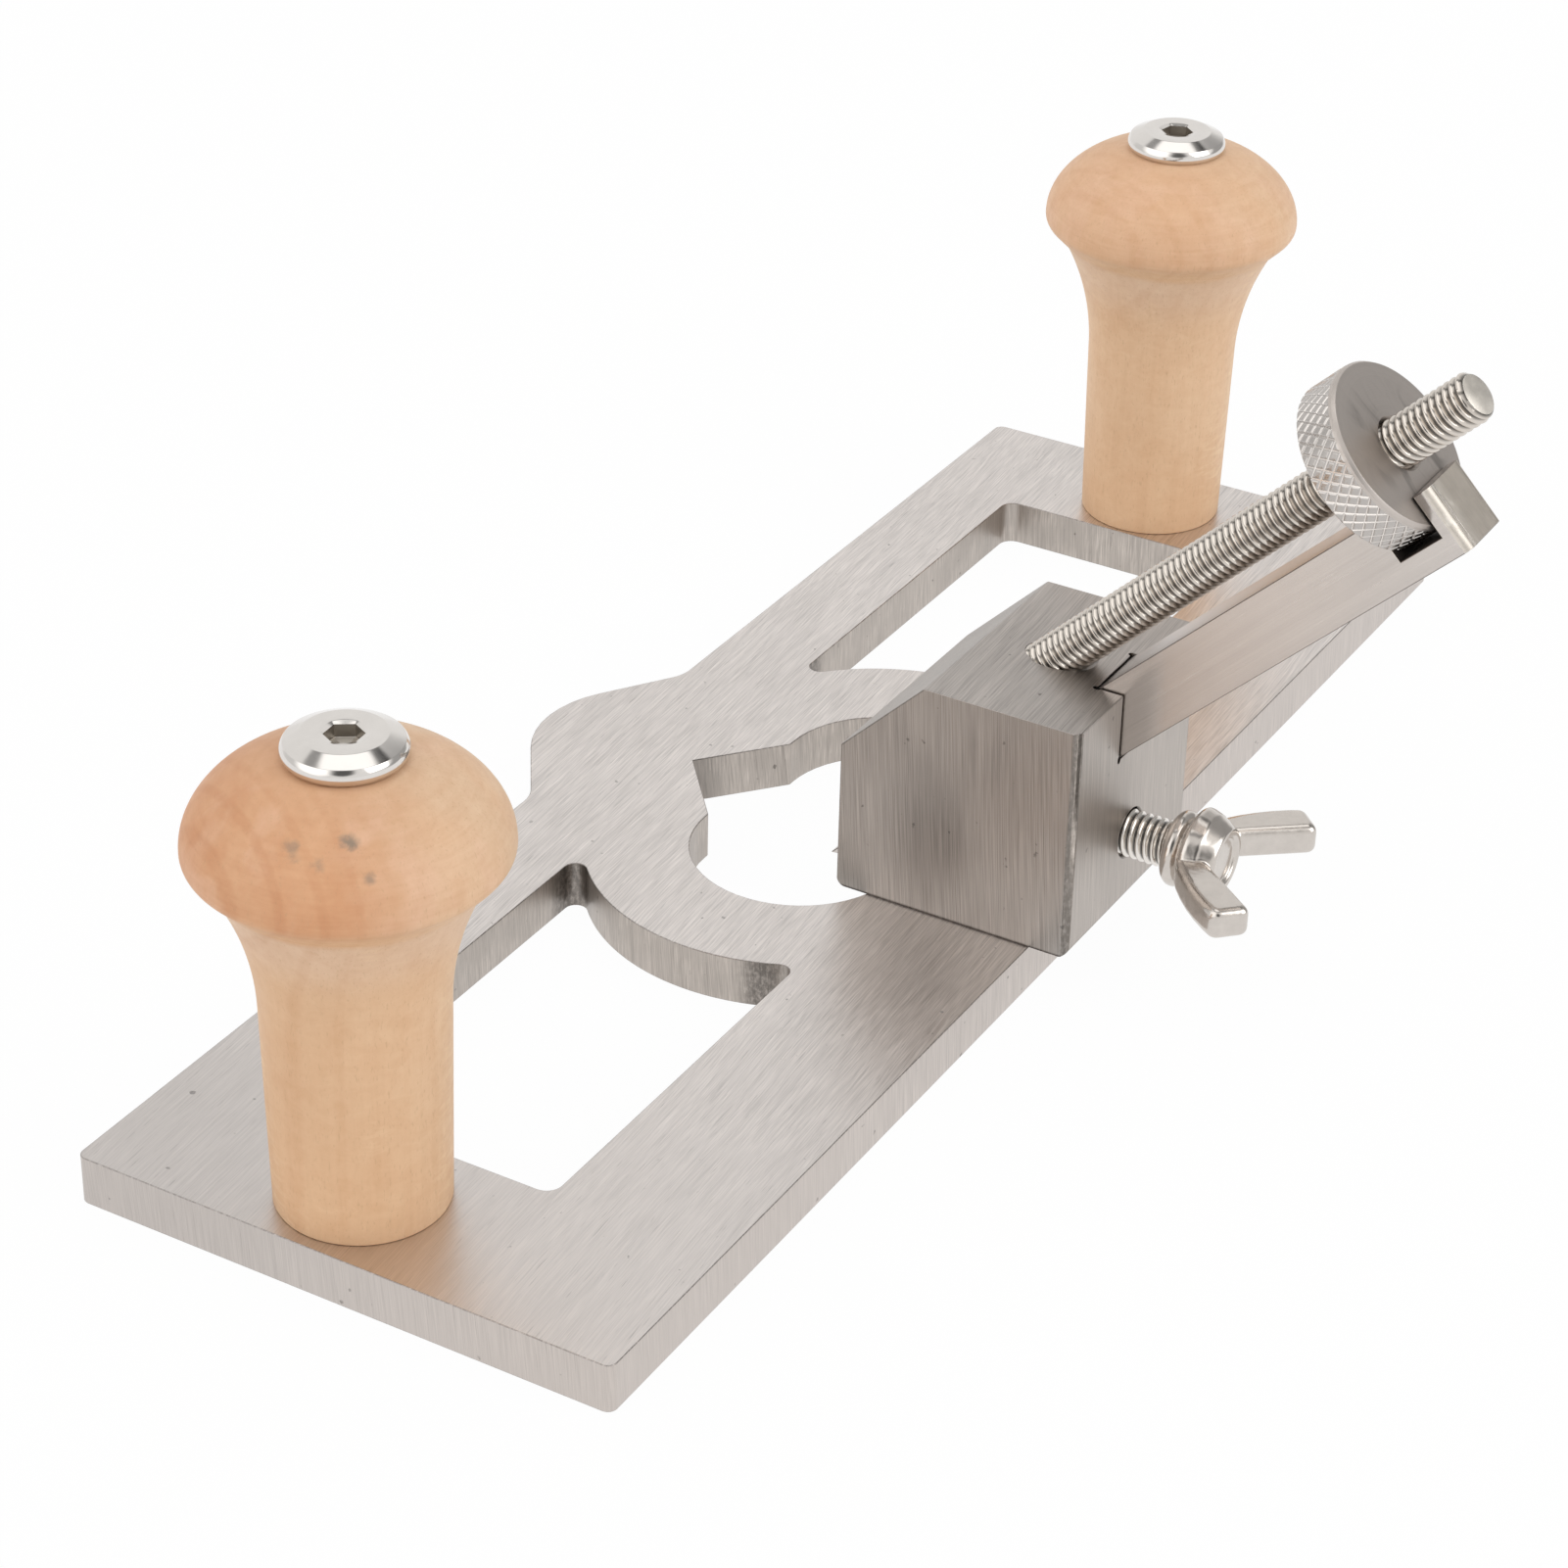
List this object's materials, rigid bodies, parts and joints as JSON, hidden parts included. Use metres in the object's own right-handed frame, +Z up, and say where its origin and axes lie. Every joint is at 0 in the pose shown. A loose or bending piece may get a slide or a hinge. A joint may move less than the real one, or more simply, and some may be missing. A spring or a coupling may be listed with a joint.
{
  "type": "hand router plane",
  "caption": "Flat steel sole with two turned wooden handles and a slanted square cutter bar, moved by a knurled nut on a fixed screw and locked by a wing screw.",
  "frame": {"origin": "on the sole, under the middle of the whole tool's box", "axes": "+X along the plate to the right handle, +Y to the front where the toe bump is, +Z up"},
  "size_m": [0.2908, 0.1564, 0.1078],
  "materials": {
    "plate_steel": "brushed along the plate",
    "block_steel": "brushed, slightly darker",
    "bar_steel": "ground",
    "nut_steel": "turned face, knurled rim",
    "screw_steel": "bright, polished",
    "handle_wood": "pale hardwood, turned and oiled"
  },
  "bodies": {
    "base": {"sole_plate": "plate_steel", "blade_block": "block_steel", "block_screws": "screw_steel", "left_handle": "handle_wood", "right_handle": "handle_wood", "left_handle_bolt": "screw_steel", "right_handle_bolt": "screw_steel", "adjusting_screw": "screw_steel"},
    "blade_bar": {"blade_bar": "bar_steel"},
    "knurled_nut": {"knurled_nut": "nut_steel"},
    "clamp_stud": {"clamp_stud": "screw_steel"},
    "wing_head": {"wing_head": "screw_steel"}
  },
  "joints": [
    {"name": "bar_slide", "type": "slide", "parent": "base", "child": "blade_bar", "axis": [0, 0.7169, -0.6972], "range_m": [-0.012, 0.045]},
    {"name": "nut_turn", "type": "hinge", "parent": "blade_bar", "child": "knurled_nut", "pos_m": [0, -0.06097, 0.09226], "axis": [0, 0.7169, -0.6972], "range_deg": [-3456, 12960]},
    {"name": "clamp_slide", "type": "slide", "parent": "base", "child": "clamp_stud", "axis": [0, -1, 0], "range_m": [-0.0003, 0.006]},
    {"name": "wing_turn", "type": "hinge", "parent": "clamp_stud", "child": "wing_head", "pos_m": [0, -0.035, 0.0197], "axis": [0, -1, 0], "range_deg": [-86.4, 1728]}
  ],
  "couplings": [
    {"joint": "nut_turn", "follows": "bar_slide", "rad_per_m": 5026.5},
    {"joint": "wing_turn", "follows": "clamp_slide", "rad_per_m": 5026.5}
  ]
}
